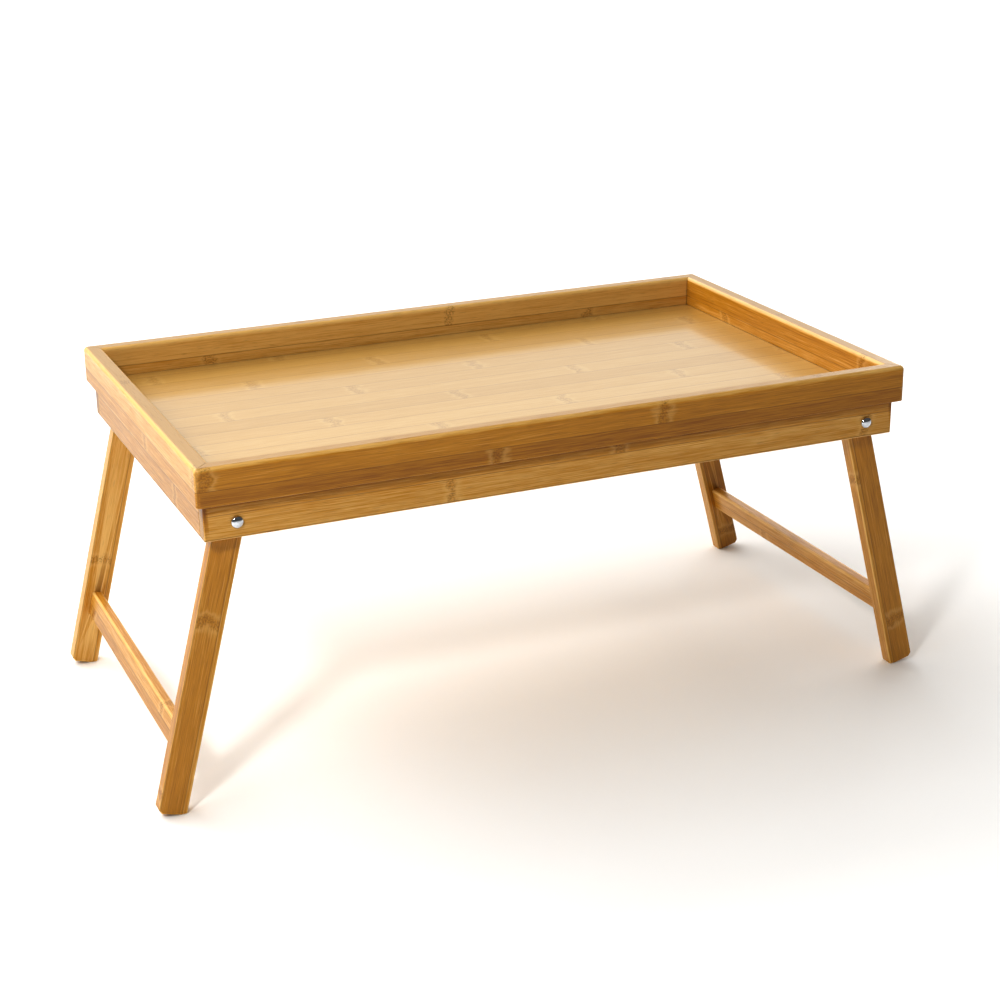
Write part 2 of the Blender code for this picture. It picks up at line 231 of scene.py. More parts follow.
def wood(name, strip, knot_every, tones, coat, coat_roughness, streak_depth=1.0, knot_depth=1.0):
    """Pressed bamboo under clear varnish. Everything reads the piece's own fibre attribute, in
    metres along, across and through the grain. Strips of one width have tones of their own and a
    fine glue line between them; long fibres streak them, short dark ones lie between; each strip
    crosses a growth ring of the culm, a speckled mark, once in every knot_every metres. tones are
    the dark, middle and light wood and the colour of marks and glue."""
    made = bpy.data.materials.new(name)
    made.use_nodes = True
    tree = made.node_tree
    shader = tree.nodes["Principled BSDF"]
    fibre = node(tree, "ShaderNodeAttribute", attribute_name="fibre").outputs["Vector"]
    wear_and_painted_light, cut, pale = (
        node(tree, "ShaderNodeAttribute", attribute_name=label).outputs["Fac"]
        for label in ("wear_and_painted_light", "end_grain", "pale")
    )
    along, across, _ = node(tree, "ShaderNodeSeparateXYZ", (fibre,)).outputs

    strips = node(tree, "ShaderNodeMath", (across, strip), operation="DIVIDE").outputs[0]
    number = node(tree, "ShaderNodeMath", (strips,), operation="FLOOR").outputs[0]
    chance = node(tree, "ShaderNodeTexWhiteNoise", {"W": number}, noise_dimensions="1D").outputs["Color"]
    pick = node(tree, "ShaderNodeSeparateColor", (chance,)).outputs["Green"]
    from_edge = node(tree, "ShaderNodeMath", (strips, 0.5), operation="PINGPONG").outputs[0]
    glue = node(
        tree, "ShaderNodeMapRange", (from_edge, 0.0, GLUE_WIDTH / strip, 1.0, 0.0),
        interpolation_type="SMOOTHSTEP",
    ).outputs[0]

    def grain(length, width, detail, wander=0.0):
        """Noise drawn out along the fibres: one feature is that long and that wide."""
        moved = fibre
        if wander:
            # The fibres sway over about 110 mm along and 25 mm across.
            slow = node(
                tree, "ShaderNodeVectorMath", (fibre, (9.0, 40.0, 40.0)), operation="MULTIPLY"
            ).outputs[0]
            sway = node(tree, "ShaderNodeTexNoise", {"Vector": slow, "Scale": 1.0, "Detail": 1.0})
            moved = node(
                tree, "ShaderNodeVectorMath", (sway.outputs["Color"], (0.0, wander, wander), fibre),
                operation="MULTIPLY_ADD",
            ).outputs[0]
        size = node(
            tree, "ShaderNodeVectorMath", (moved, (1 / length, 1 / width, 1 / width)),
            operation="MULTIPLY",
        ).outputs[0]
        # Each strip's grain starts at a place of its own.
        offset = node(
            tree, "ShaderNodeVectorMath", (chance, (37.0, 11.0, 5.0), size), operation="MULTIPLY_ADD"
        ).outputs[0]
        return node(
            tree, "ShaderNodeTexNoise",
            {"Vector": offset, "Scale": 1.0, "Detail": detail, "Roughness": 0.6},
        ).outputs["Fac"]

    broad = grain(220 * MM, 5.0 * MM, 2.0)
    streak = grain(70 * MM, 1.3 * MM, 3.0, wander=2.5 * MM)
    fine = grain(24 * MM, 0.45 * MM, 2.0, wander=2.5 * MM)
    dash = node(
        tree, "ShaderNodeMapRange", (grain(11 * MM, 0.6 * MM, 1.0), 0.60, 0.74),
        interpolation_type="SMOOTHSTEP",
    ).outputs[0]

    # The growth ring: a wavy band across the strip, pale at its rim and speckled inside. Its
    # middle is where along / knot_every + the strip's turn is half way to the next whole number.
    cycle = node(tree, "ShaderNodeMath", (along, knot_every), operation="DIVIDE").outputs[0]
    cycle = node(tree, "ShaderNodeMath", (number, KNOT_TURN, cycle), operation="MULTIPLY_ADD").outputs[0]
    cycle = node(tree, "ShaderNodeMath", (cycle,), operation="FRACT").outputs[0]
    away = node(
        tree, "ShaderNodeMath", (cycle, knot_every, -(knot_every + KNOT_BEND) / 2),
        operation="MULTIPLY_ADD",
    ).outputs[0]
    wave = grain(14 * MM, 7 * MM, 2.0)
    away = node(tree, "ShaderNodeMath", (wave, KNOT_BEND, away), operation="MULTIPLY_ADD").outputs[0]
    away = node(tree, "ShaderNodeMath", (away,), operation="ABSOLUTE").outputs[0]
    ring, rim_of_ring = (
        node(
            tree, "ShaderNodeMapRange", (away, near, far, 1.0, 0.0), interpolation_type="SMOOTHSTEP"
        ).outputs[0]
        for near, far in ((1.5 * MM, 5.5 * MM), (3.5 * MM, 9.0 * MM))
    )
    outside = node(tree, "ShaderNodeMath", (1.0, ring), operation="SUBTRACT").outputs[0]
    halo = node(tree, "ShaderNodeMath", (rim_of_ring, outside), operation="MULTIPLY").outputs[0]
    # The speckles are 1 to 1.4 mm, near the real size of a bundle of fibres cut across.
    speckle_at = node(
        tree, "ShaderNodeVectorMath", (fibre, (700.0, 1000.0, 1000.0)), operation="MULTIPLY"
    ).outputs[0]
    speckle = node(tree, "ShaderNodeTexNoise", {"Vector": speckle_at, "Scale": 1.0, "Detail": 1.0})
    dots = node(
        tree, "ShaderNodeMapRange", (speckle.outputs["Fac"], 0.36, 0.70), interpolation_type="SMOOTHSTEP"
    ).outputs[0]
    spot = node(tree, "ShaderNodeMath", (ring, dots), operation="MULTIPLY").outputs[0]

    # The tone: half way, plus what each pattern and the board itself add to it or take away.
    patterns = ((broad, 0.24), (streak, 0.32), (fine, 0.6), (pick, 0.24))
    patterns = [(value, amount * streak_depth) for value, amount in patterns]
    half = sum(amount for _, amount in patterns) / 2
    tone = node(tree, "ShaderNodeMath", (pale, 0.5 - half), operation="ADD").outputs[0]
    # This pales rubbed edges, paints the highlight on the rails' tops and paints the shade under the rim.
    for value, amount in (*patterns, (wear_and_painted_light, WEAR_AND_LIGHT_TONE)):
        tone = node(tree, "ShaderNodeMath", (value, amount, tone), operation="MULTIPLY_ADD").outputs[0]
    ramp = node(tree, "ShaderNodeValToRGB", (tone,))
    stops = ramp.color_ramp.elements
    stops[0].position, stops[0].color = 0.18, linear(tones[0])
    stops[1].position, stops[1].color = 0.82, linear(tones[2])
    middle = stops.new(0.5)
    middle.color = linear(tones[1])

    cut_face = node(
        tree, "ShaderNodeMapRange", (cut, 0.75, 1.0), interpolation_type="SMOOTHSTEP"
    ).outputs[0]
    colour = ramp.outputs["Color"]
    for where, share, tint in (
        (dash, 0.28 * streak_depth, tones[3]),
        (halo, 0.35 * knot_depth, tones[2]),
        (spot, 0.5 * knot_depth, tones[3]),
        (glue, GLUE_DARK, tones[3]),
        (cut_face, CUT_DARK, tones[3]),
    ):
        factor = node(tree, "ShaderNodeMath", (where, share), operation="MULTIPLY").outputs[0]
        colour = node(
            tree, "ShaderNodeMix", {0: factor, 6: colour, 7: linear(tint)}, data_type="RGBA"
        ).outputs[2]
    tree.links.new(colour, shader.inputs["Base Color"])

    # The varnish sinks a little over open fibres, glue lines and growth rings.
    height = 0.0
    for value, rise in ((streak, 0.5), (fine, 0.6), (dash, -0.35), (glue, -0.8), (spot, -0.6)):
        height = node(tree, "ShaderNodeMath", (value, rise, height), operation="MULTIPLY_ADD").outputs[0]
    bump = node(tree, "ShaderNodeBump", {"Height": height, "Strength": 0.35, "Distance": 0.12 * MM})
    tree.links.new(bump.outputs["Normal"], shader.inputs["Normal"])
    rough = node(
        tree, "ShaderNodeMapRange", (fine, 0.3, 0.7, 0.46, 0.36), interpolation_type="SMOOTHSTEP"
    )
    tree.links.new(rough.outputs[0], shader.inputs["Roughness"])
    shader.inputs["IOR"].default_value = 1.5
    shader.inputs["Specular IOR Level"].default_value = 0.15
    shader.inputs["Coat Weight"].default_value = coat
    shader.inputs["Coat Roughness"].default_value = coat_roughness
    shader.inputs["Coat IOR"].default_value = 1.5
    return made


# Satin varnish over side-pressed strips: warm tan with brown streaks, glossy only at a glance.
RIM_STRIP = 15 * MM
bamboo = wood(
    "satin varnished bamboo", RIM_STRIP, 308 * MM, ("#8E5812", "#BF8522", "#E4BA70", "#6A4210"), 0.45, 0.20
)


def rail_grid(half, thick, high, low):
    """A rail seen along its length: the section of (depth, height), carried to a mitre at each
    end. A point at depth d from the outer face ends at half - d. Where d is under the corner's
    radius R it turns on an arc of radius R - d about the corner's upright axis, and b metres
    short of the mitre that arc has turned 45 degrees less b / (R - d)."""
    section, normals, wear_and_painted_light = rounded(
        [(0, low), (thick - REBATE_WIDTH, low), (thick - REBATE_WIDTH, low + REBATE_HEIGHT),
         (thick, low + REBATE_HEIGHT), (thick, high), (0, high)],
        [RAIL_EDGE_EASE, PLAIN, PLAIN, PLAIN, RIM_ROUND, RIM_ROUND],
        steps=7,
    )
    # Painted highlight: within the rounding's radius of the top, the rail is painted paler.
    wear_and_painted_light = np.maximum(wear_and_painted_light, TOP_PAINTED_HIGHLIGHT * np.clip((section[:, 1] - high) / RIM_ROUND + 1, 0, 1))
    reach = np.maximum(RIM_ROUND - section[:, 0], 0)
    run = CORNER_RUN - np.maximum(section[:, 0], RIM_ROUND) + reach * np.pi / 4
    share = np.concatenate([[0.0], CORNER_ROWS])[:, None]
    along, inset, angle = (value[:, None] for value in eased_ends(RAIL_END_EASE))
    short = np.concatenate([(1 - share) * run, along[::-1] * np.ones_like(run)])
    inset = np.concatenate([np.zeros_like(share), inset[::-1]])
    angle = np.concatenate([np.zeros_like(share), angle[::-1]])
    depth = section[:, 0] - inset * normals[:, 0]
    height = section[:, 1] - inset * normals[:, 1]
    reach = np.maximum(RIM_ROUND - depth, 0)
    bend = np.clip(np.pi / 4 - short / np.maximum(reach, 1e-9), 0, np.pi / 4) * (reach > 0)
    straight = np.maximum(short - reach * np.pi / 4, 0)
    x = half - MITRE_GAP - np.maximum(depth, RIM_ROUND) + reach * np.sin(bend) - straight
    y = np.maximum(depth, RIM_ROUND) - reach * np.cos(bend)
    normal = np.stack(
        [-normals[:, 0] * np.sin(bend), normals[:, 0] * np.cos(bend),
         np.broadcast_to(normals[:, 1], bend.shape)], -1
    )
    normal = np.cos(angle)[..., None] * normal + np.sin(angle)[..., None] * CUT_WAY
    wear_and_light = np.maximum(np.broadcast_to(wear_and_painted_light, bend.shape), abs(np.sin(2 * angle)))
    at = np.stack([x, y, np.broadcast_to(height, x.shape)], -1)
    right = np.concatenate([at, normal, wear_and_light[..., None]], -1)
    left = right[::-1].copy()
    left[..., [0, 3]] *= -1
    return np.concatenate([left, right])


def spline_slot(half, thick, low, high, side):
    """The slot that a corner slip is glued into: an upright box sunk square into the mitre."""
    half_slot = SLOT_THICK / 2
    outline = rounded(
        [(-half_slot, low), (half_slot, low), (half_slot, high), (-half_slot, high)], PLAIN, steps=2
    )
    box = carry(outline, 0, SLOT_DEPTH, hole=True)
    span, deep, up = box[..., 0], box[..., 2], box[..., 1]
    grid = box.copy()
    grid[..., 0] = side * (half - MITRE_GAP - thick / 2 - (span + deep) / np.sqrt(2))
    grid[..., 1] = thick / 2 + (span - deep) / np.sqrt(2)
    grid[..., 2] = up
    grid[..., 3] = side * -box[..., 3] / np.sqrt(2)
    grid[..., 4] = box[..., 3] / np.sqrt(2)
    grid[..., 5] = box[..., 4]
    return grid


low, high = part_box("front_rim")
rail_low, rail_high, rail_thick = low.z, high.z, high.y - low.y
tray_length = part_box("right_rim")[1].x * 2
tray_width = -low.y * 2
slot_low = rail_low + REBATE_HEIGHT + SLOT_WALL
slot_high = rail_high - RIM_ROUND - SLOT_WALL
RAIL_GLUE_LINE = 10.0 * MM  # from a rail's underside
# Each rail: half its length, how far out it lies, its quarter turns, its place in its board and
# how much lighter that board is.
for name, half, out, turn, shift, pale in (
    ("front", tray_length / 2, tray_width / 2, 0, (-0.1003, 0.0, 0.0), -0.11),
    ("right", tray_width / 2, tray_length / 2, 1, (1.40, 0.090, 0.1), 0.02),
    ("back", tray_length / 2, tray_width / 2, 2, (2.33, 0.180, 0.2), 0.26),
    ("left", tray_width / 2, tray_length / 2, 3, (3.17, 0.270, 0.3), 0.08),
):
    c, s = round(np.cos(turn * np.pi / 2)), round(np.sin(turn * np.pi / 2))
    walls = [(rail_grid(half, rail_thick, rail_high, rail_low), ("low", "high"))]
    walls += [(spline_slot(half, rail_thick, slot_low, slot_high, -1), ("low", "floor"))]
    walls += [(spline_slot(half, rail_thick, slot_low, slot_high, 1), ("high", "floor"))]
    rail = solid(
        f"{name}_rail", walls, [(c, s, 0), (-s, c, 0), (0, 0, 1)], (out * s, -out * c, 0),
        grain=(0, 2, 1), shift=np.array(shift) - (0, rail_low + RAIL_GLUE_LINE - RIM_STRIP, 0), pale=pale,
    )
    rail.data.materials.append(bamboo)
    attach(rail, "tray")
    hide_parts(f"{name}_rim")


# The panel: a 3 mm board of flat-pressed bamboo strips with the grain along the tray. Its edge is
# planed to a tongue that lies in the rails' rebate, and its face has the glossier varnish.
TONGUE = 2.5 * MM
TONGUE_EASE = 0.1 * MM
PANEL_STRIP = 21 * MM
PANEL_EASE = 0.25 * MM
PANEL_CORNER = 0.5 * MM
PANEL_GAP = 0.3 * MM  # round the panel's face


def oblong(half_u, half_v, radius, steps=4):
    """A rounded rectangle about the origin."""
    corners = [(-half_u, -half_v), (half_u, -half_v), (half_u, half_v), (-half_u, half_v)]
    return rounded(corners, radius, steps)


# Deep gloss varnish over flat-pressed strips: paler and calmer than the rails, with a clear sheen.
panel_bamboo = wood(
    "glossy varnished bamboo ply", PANEL_STRIP, 262 * MM, ("#A37D3C", "#C09A55", "#D4B577", "#7A582E"),
    1.0, 0.13, streak_depth=0.45, knot_depth=0.8,
)
low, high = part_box("tray_panel")
field_x = tray_length / 2 - rail_thick - PANEL_GAP
field_y = tray_width / 2 - rail_thick - PANEL_GAP
tongue = carry(oblong(high.x, high.y, PANEL_CORNER), low.z, low.z + TONGUE, (TONGUE_EASE, TONGUE_EASE))
field = carry(oblong(field_x, field_y, PANEL_CORNER), low.z + TONGUE, high.z, (0.0, PANEL_EASE))
panel = solid("bamboo_panel", [(np.concatenate([tongue, field]), ("low", "high"))], shift=(5.1, 0.4, 0.5))
panel.data.materials.append(panel_bamboo)
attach(panel, "tray")
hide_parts("tray_panel")


# The aprons: the frame under the panel, of the same strip. The front and back ones run the full
# length and are bored for the legs' bolts. The end ones stand between them, glued on two dowels
# at each joint.
APRON_ROUND = 1.0 * MM
APRON_EASE = 0.8 * MM
APRON_END_EASE = 0.15 * MM
HOLE_RADIUS = 2.3 * MM
HOLE_SIDES = 32
HOLE_TURN = 0.21  # of one side, which keeps the flat faces round the holes from splitting badly
DOWEL_IN_SIDE = 6.3 * MM
DOWEL_IN_END = 12.3 * MM
DOWEL_FROM_EDGE = 6.0 * MM
MOUTH_EASE = 0.2 * MM
PAINTED_SHADE_REACH = 3.4 * MM  # how far the painted shade under the rim's overhang reaches down
PAINTED_SHADE_FROM = 1.2 * MM  # where it starts to fade, down from the top
# How dark the painted shade is: it goes into the rows' last channel and takes the tone down.
PAINTED_SHADE_DARK = -1.6
FIELD_CORNER = 0.2 * MM
APRON_GLUE_LINE = 1.0 * MM  # from an apron's underside
APRON_STRIPS = {"front": 16, "back": 31, "left": 47, "right": 62}  # the place in the board
END_REACH = 0.2 * MM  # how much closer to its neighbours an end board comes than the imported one


def sides_of(low, high):
    """The corners of a box seen along the tray's width, anticlockwise."""
    return [(low.x, low.z), (high.x, low.z), (high.x, high.z), (low.x, high.z)]


def bored(u, v, radius, low, high, ease=(0.0, 0.0)):
    """A round hole's wall: a circle about (u, v) drawn out along w."""
    angle = (np.arange(HOLE_SIDES) + HOLE_TURN) / HOLE_SIDES * 2 * np.pi
    way = np.stack([np.cos(angle), np.sin(angle)], -1)
    return carry((way * radius + (u, v), way, np.zeros(HOLE_SIDES)), low, high, ease, hole=True)


bolt_x, bolt_z = frame["joints"][1]["pos_m"][0], frame["joints"][1]["pos_m"][2]
end_low, end_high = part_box("right_apron")
dowel_x = (end_low.x + end_high.x) / 2
for name, sign in (("front", -1), ("back", 1)):
    low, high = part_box(f"{name}_apron")
    # u is X, v is Z and w runs inwards from the outer face.
    thick = high.y - low.y
    outline = rounded(sides_of(low, high), APRON_ROUND)
    grid = carry(outline, 0, thick, (APRON_EASE, APRON_EASE))
    # Painted shade under the rim's overhang: it darkens the five rows of the outer face's eased top
    # edge and fades out towards a ring that lies flat in the face.
    inset = Vector((PAINTED_SHADE_REACH, 0, PAINTED_SHADE_REACH))
    face = grid[:1].copy()
    face[0, :, :2] = rounded(sides_of(low + inset, high - inset), FIELD_CORNER)[0]
    grid[:5, grid[0, :, 1] > high.z - PAINTED_SHADE_FROM, 6] = PAINTED_SHADE_DARK
    walls = [(np.concatenate([face, grid]), ("low", "high"))]
    for end in (-1, 1):
        hole = bored(end * bolt_x, bolt_z, HOLE_RADIUS, 0, thick, (MOUTH_EASE, MOUTH_EASE))
        walls.append((hole, ("low", "high")))
        for z in (low.z + DOWEL_FROM_EDGE, high.z - DOWEL_FROM_EDGE):
            hole = bored(end * dowel_x, z, HOLE_RADIUS, thick, thick - DOWEL_IN_SIDE)
            walls.append((hole, ("high", "floor")))
    outer = low.y if sign < 0 else high.y
    across = APRON_STRIPS[name] * RIM_STRIP - low.z - APRON_GLUE_LINE
    board = solid(
        f"{name}_apron_board", walls, [(1, 0, 0), (0, 0, 1), (0, -sign, 0)], (0, outer, 0),
        grain=(0, 1, 2), shift=(6.2 + sign, across, 0.7 + sign),
    )
    board.data.materials.append(bamboo)
    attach(board, "tray")
    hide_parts(f"{name}_apron")

for name, sign in (("left", -1), ("right", 1)):
    low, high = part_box(f"{name}_apron")
    reach = high.y + END_REACH
    outline = rounded(sides_of(low, high), APRON_ROUND)
    walls = [(carry(outline, -reach, reach, (APRON_END_EASE, APRON_END_EASE)), ("low", "high"))]
    for end, face in (("low", -1), ("high", 1)):
        for z in (low.z + DOWEL_FROM_EDGE, high.z - DOWEL_FROM_EDGE):
            hole = bored(sign * dowel_x, z, HOLE_RADIUS, face * reach, face * (reach - DOWEL_IN_END))
            walls.append((hole, (end, "floor")))
    across = APRON_STRIPS[name] * RIM_STRIP - low.z - APRON_GLUE_LINE
    board = solid(
        f"{name}_apron_board", walls, [(1, 0, 0), (0, 0, 1), (0, 1, 0)], grain=(2, 1, 0),
        shift=(8.3 + sign, across, 0.9 + sign),
    )
    board.data.materials.append(bamboo)
    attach(board, "tray")
    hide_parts(f"{name}_apron")


# The battens: two thin strips glued under the panel from apron to apron. A folded leg frame
# comes to rest against them.
for name, sign in (("left", -1), ("right", 1)):
    low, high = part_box(f"{name}_batten")
    outline = rounded(sides_of(low, high), APRON_ROUND)
    reach = high.y + END_REACH
    strip = carry(outline, -reach, reach, (APRON_END_EASE, APRON_END_EASE))
    batten = solid(
        f"{name}_batten_strip", [(strip, ("low", "high"))], [(1, 0, 0), (0, 0, 1), (0, 1, 0)],
        grain=(2, 0, 1), shift=(9.7 + sign, 1.2 + sign * 0.2, 0.4),
    )
    batten.data.materials.append(bamboo)
    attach(batten, "tray")
    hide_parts(f"{name}_batten")


# The legs: flat bars, 19 x 10 mm, round at the top where they hang on their bolts and cut square
# at the foot, with the toe trimmed level and the heel's corner taken off. Long edges are eased.
LEG_CORNER = 1.2 * MM
LEG_EASE = 1.0 * MM
LEG_REACH = 201 * MM
TOE_LAND = 4.0 * MM
HEEL_CHAMFER = 2.5 * MM
STRETCHER_RISE = 47 * MM
MORTISE = (5.6 * MM, 12.6 * MM)
MORTISE_CORNER = 1.2 * MM
MORTISE_DEPTH = 6.3 * MM
SPLAY = np.radians(14.5)
CROWN_GAP = 0.01 * MM  # keeps the two arcs of a leg's round top from ending in one point
LEG_GLUE_LINE = 6.0 * MM  # from the leg's middle
# Each leg's place in its board: metres along the grain, and how many strips across.
LEG_BOARD = {
    ("front", "left"): (9.582, 91),
    ("front", "right"): (9.413, 94),
    ("back", "left"): (9.413, 97),
    ("back", "right"): (9.523, 100),
}

low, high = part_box("front_right_leg")
leg_outer, leg_inner = low.y, high.y
leg_half = high.z - bolt_z
thick = leg_inner - leg_outer
lean_c, lean_s = np.cos(SPLAY), np.sin(SPLAY)
# u points to the tray's middle, v up the leg, and w inwards from the outer face.
outline = rounded(
    [(-leg_half, -LEG_REACH + HEEL_CHAMFER), (-leg_half + HEEL_CHAMFER, -LEG_REACH),
     (leg_half - TOE_LAND * lean_c, -LEG_REACH), (leg_half, -LEG_REACH + TOE_LAND * lean_s),
     (leg_half, leg_half), (-leg_half, leg_half)],
    [LEG_CORNER] * 4 + [leg_half - CROWN_GAP] * 2, steps=16,
)
points, normals, wear_and_painted_light = oblong(MORTISE[0] / 2, MORTISE[1] / 2, MORTISE_CORNER)
points = points + (0, STRETCHER_RISE - LEG_REACH)
leg_walls = [
    (carry(outline, 0, thick, (LEG_EASE, LEG_EASE)), ("low", "high")),
    (bored(0, 0, HOLE_RADIUS, 0, thick, (MOUTH_EASE, MOUTH_EASE)), ("low", "high")),
    (carry((points, normals, wear_and_painted_light), thick, thick - MORTISE_DEPTH, hole=True), ("high", "floor")),
]
for end, end_sign in (("left", -1), ("right", 1)):
    for side, side_sign in (("front", -1), ("back", 1)):
        along, strips = LEG_BOARD[side, end]
        leg = solid(
            f"{side}_{end}_leg_bar", leg_walls,
            [(-end_sign * lean_c, 0, -lean_s), (-end_sign * lean_s, 0, lean_c), (0, -side_sign, 0)],
            (end_sign * bolt_x, side_sign * -leg_outer, bolt_z), grain=(1, 0, 2),
            shift=(along, strips * RIM_STRIP - LEG_GLUE_LINE, 0.3),
        )
        leg.data.materials.append(bamboo)
        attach(leg, f"{end}_leg_frame")
        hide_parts(f"{side}_{end}_leg")


# The stretchers: one flat rail between the two legs of a frame, with rounded edges and a tenon at
# each end, glued into the legs.
STRETCHER = (8 * MM, 18 * MM)
STRETCHER_ROUND = 2.0 * MM
TENON = (5 * MM, 12 * MM)
TENON_CORNER = 1.0 * MM
TENON_LENGTH = 6 * MM
TENON_SHORT = 0.3 * MM  # so that the shoulder closes before the tenon reaches the mortise's floor
SHOULDER_GAP = 0.1 * MM
SHOULDER_EASE = 0.15 * MM
shoulder = -leg_inner - SHOULDER_GAP
tip = -leg_inner + TENON_LENGTH - TENON_SHORT
tenon = oblong(TENON[0] / 2, TENON[1] / 2, TENON_CORNER, 5)
body = oblong(STRETCHER[0] / 2, STRETCHER[1] / 2, STRETCHER_ROUND, 5)
stretcher_grid = np.concatenate([
    carry(tenon, -tip, -shoulder, (PLAIN, 0.0)),
    carry(body, -shoulder, shoulder, (SHOULDER_EASE, SHOULDER_EASE)),
    carry(tenon, shoulder, tip, (0.0, PLAIN)),
])
for end, end_sign in (("left", -1), ("right", 1)):
    up_leg = np.array([-end_sign * lean_s, 0, lean_c])
    rail = solid(
        f"{end}_stretcher_rail", [(stretcher_grid, ("low", "high"))],
        [(lean_c, 0, end_sign * lean_s), up_leg, (0, 1, 0)],
        (end_sign * bolt_x, 0, bolt_z) + (STRETCHER_RISE - LEG_REACH) * up_leg,
        grain=(2, 1, 0), shift=(13.2 + end_sign, 2.1 + end_sign * 0.3, 0.2),
    )
    rail.data.materials.append(bamboo)
    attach(rail, f"{end}_leg_frame")
    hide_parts(f"{end}_stretcher")


# The pivot bolts: M4 bolts with smooth domed heads, chrome plated, one through each apron and
# leg. The thread's last turn shows past the nut.
HEAD_RADIUS = 4.0 * MM
HEAD_HEIGHT = 2.4 * MM
HEAD_RIM = 0.45 * MM  # the short upright edge under the dome
HEAD_EASE = 0.1 * MM  # the bevel under it
NECK = 0.05 * MM  # the step from the head to the shank
SHANK_RADIUS = 2.0 * MM
THREAD_PITCH = 0.7 * MM
THREAD_DEPTH = 0.4 * MM
THREAD_FROM = 0.45  # how far down the shank the thread starts
TIP_RADIUS = 1.6 * MM
TIP_ROUND = (0.3 * MM, 0.5 * MM)
THREAD_TO_TIP = 0.1 * MM
AXIS = 0.02 * MM  # the hole left at the middle of a turned shape, closed by a flat


def turned(profile, normals, sides=64):
    """A profile of (radius, height) points swept round the axis of w."""
    angle = np.arange(sides) / sides * 2 * np.pi
    way = np.stack([np.cos(angle), np.sin(angle)], -1)
    flat = profile[:, :1, None] * way
    w = np.broadcast_to(profile[:, 1:2], flat.shape[:2])
    facing = normals[:, :1, None] * way
    lean = np.broadcast_to(normals[:, 1:2], w.shape)
    return np.concatenate([flat, w[..., None], facing, lean[..., None], np.zeros_like(w)[..., None]], -1)


def metal(name, tint, dark, roughness, grit, cloud):
    """Plated steel: fully metallic, with a fine grit and a clouding in the plate, each of the
    size given in metres."""
    made = bpy.data.materials.new(name)
    made.use_nodes = True
    tree = made.node_tree
    shader = tree.nodes["Principled BSDF"]
    place = node(tree, "ShaderNodeTexCoord").outputs["Object"]
    noise = node(tree, "ShaderNodeTexNoise", {"Vector": place, "Scale": 1 / cloud, "Detail": 4.0})
    ramp = node(tree, "ShaderNodeValToRGB", (noise.outputs["Fac"],))
    stops = ramp.color_ramp.elements
    stops[0].position, stops[0].color = 0.35, linear(dark)
    stops[1].position, stops[1].color = 0.65, linear(tint)
    tree.links.new(ramp.outputs["Color"], shader.inputs["Base Color"])
    rough = node(
        tree, "ShaderNodeMapRange",
        (noise.outputs["Fac"], 0.3, 0.7, roughness * 1.3, roughness * 0.8),
    )
    tree.links.new(rough.outputs[0], shader.inputs["Roughness"])
    lines = node(tree, "ShaderNodeTexNoise", {"Vector": place, "Scale": 1 / grit, "Detail": 6.0})
    bump = node(
        tree, "ShaderNodeBump",
        {"Height": lines.outputs["Fac"], "Strength": 0.08, "Distance": 0.01 * MM},
    )
    tree.links.new(bump.outputs["Normal"], shader.inputs["Normal"])
    shader.inputs["Metallic"].default_value = 1.0
    return made


# Chrome over polished steel: a mirror with a cool tint, barely softened.
chrome = metal("chrome plate", "#DDE0E4", "#C9CDD3", 0.07, MM / 9, MM / 0.7)

low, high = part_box("front_right_pivot_bolt")
head_top, shank_end = low.y, high.y
angle = np.linspace(np.pi / 2, 0, 14)[:, None]
# The dome: part of an ellipse as wide as the head and as tall as what stands over its rim.
dome_height = HEAD_HEIGHT - HEAD_RIM
dome = np.concatenate([HEAD_RADIUS * np.cos(angle), HEAD_RIM + dome_height * np.sin(angle)], 1)
dome[0, 0] = AXIS
dome_way = unit(np.concatenate([np.cos(angle) / HEAD_RADIUS, np.sin(angle) / dome_height], 1))
under = np.array([[HEAD_RADIUS, HEAD_EASE], [HEAD_RADIUS - HEAD_EASE, 0.0], [SHANK_RADIUS + NECK, 0.0]])
under_way = unit(np.array([[1.0, 0.0], [0.0, -1.0], [0.0, -1.0]]))
shank_length = shank_end - (head_top + HEAD_HEIGHT)
tip_down = shank_length - TIP_ROUND[1]
turns = np.linspace(AXIS, tip_down - THREAD_TO_TIP, 240)[:, None]
plain = np.concatenate([np.full_like(turns, SHANK_RADIUS), -turns], 1)
plain_way = np.concatenate([np.ones_like(turns), np.zeros_like(turns)], 1)
tip_angle = np.linspace(0, np.pi / 2, 6)[:, None]
tip = np.concatenate([
    TIP_RADIUS - TIP_ROUND[0] * (1 - np.cos(tip_angle)), -tip_down - TIP_ROUND[1] * np.sin(tip_angle)
], 1)
tip_way = np.concatenate([np.cos(tip_angle), -np.sin(tip_angle)], 1)
bolt_grid = turned(
    np.concatenate([dome, under, plain, tip]), np.concatenate([dome_way, under_way, plain_way, tip_way])
)
# The thread: a V groove that winds round the shank's last stretch, one pitch a turn.
around = np.arctan2(bolt_grid[..., 1], bolt_grid[..., 0]) / (2 * np.pi)
first = len(dome) + len(under)
threaded = slice(first, first + len(turns))
phase = (bolt_grid[threaded, :, 2] / THREAD_PITCH - around[threaded]) % 1.0
fade = np.clip((-bolt_grid[threaded, :, 2] - shank_length * THREAD_FROM) / (2 * THREAD_PITCH), 0, 1)
sink = THREAD_DEPTH * fade * (1 - abs(2 * phase - 1))
bolt_grid[threaded, :, :2] *= (1 - sink / SHANK_RADIUS)[..., None]
for end, end_sign in (("left", -1), ("right", 1)):
    for side, side_sign in (("front", -1), ("back", 1)):
        bolt = solid(
            f"{side}_{end}_bolt", [(bolt_grid, ("low", "high"))],
            [(-side_sign, 0, 0), (0, 0, 1), (0, side_sign, 0)],
            (end_sign * bolt_x, side_sign * -(head_top + HEAD_HEIGHT), bolt_z),
        )
        bolt.data.materials.append(chrome)
        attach(bolt, "tray")
        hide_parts(f"{side}_{end}_pivot_bolt")


